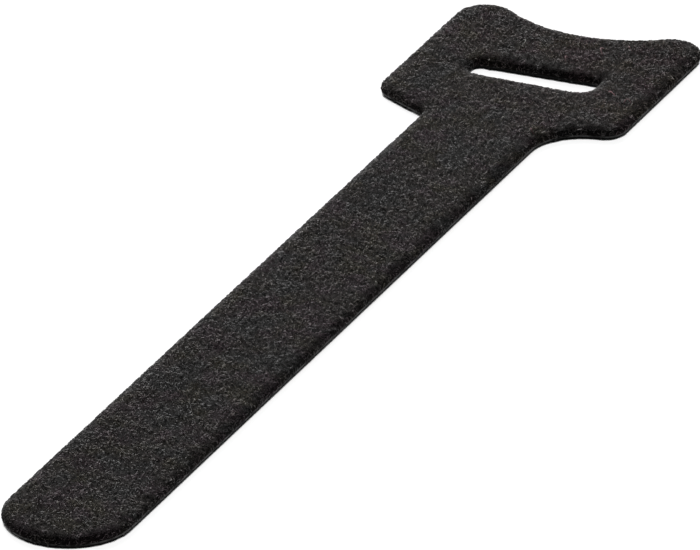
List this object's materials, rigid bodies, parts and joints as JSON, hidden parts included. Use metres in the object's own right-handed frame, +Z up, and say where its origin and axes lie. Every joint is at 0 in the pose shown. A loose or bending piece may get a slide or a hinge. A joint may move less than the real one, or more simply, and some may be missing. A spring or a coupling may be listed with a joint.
{
  "type": "hook and loop cable tie",
  "caption": "Flat T-headed cable tie: brushed loop fabric on one face, rows of moulded hooks on the other, and a slot in the head that the round tail threads through.",
  "frame": {"origin": "bottom centre of the bounding box: under the middle of the tie's length, on the plane of the hook tips that it lies on", "axes": "+X along the strap, from the round tail to the head; +Y across the strap; +Z up, out of the loop face"},
  "size_m": [0.2, 0.041, 0.0019],
  "materials": {
    "loop_fabric": "brushed knitted loop pile, matt black",
    "hook_sheet": "moulded hooks on a thin sheet, satin black"
  },
  "bodies": {
    "root": {"loop_fabric": "loop_fabric", "hook_sheet": "hook_sheet"}
  },
  "joints": []
}
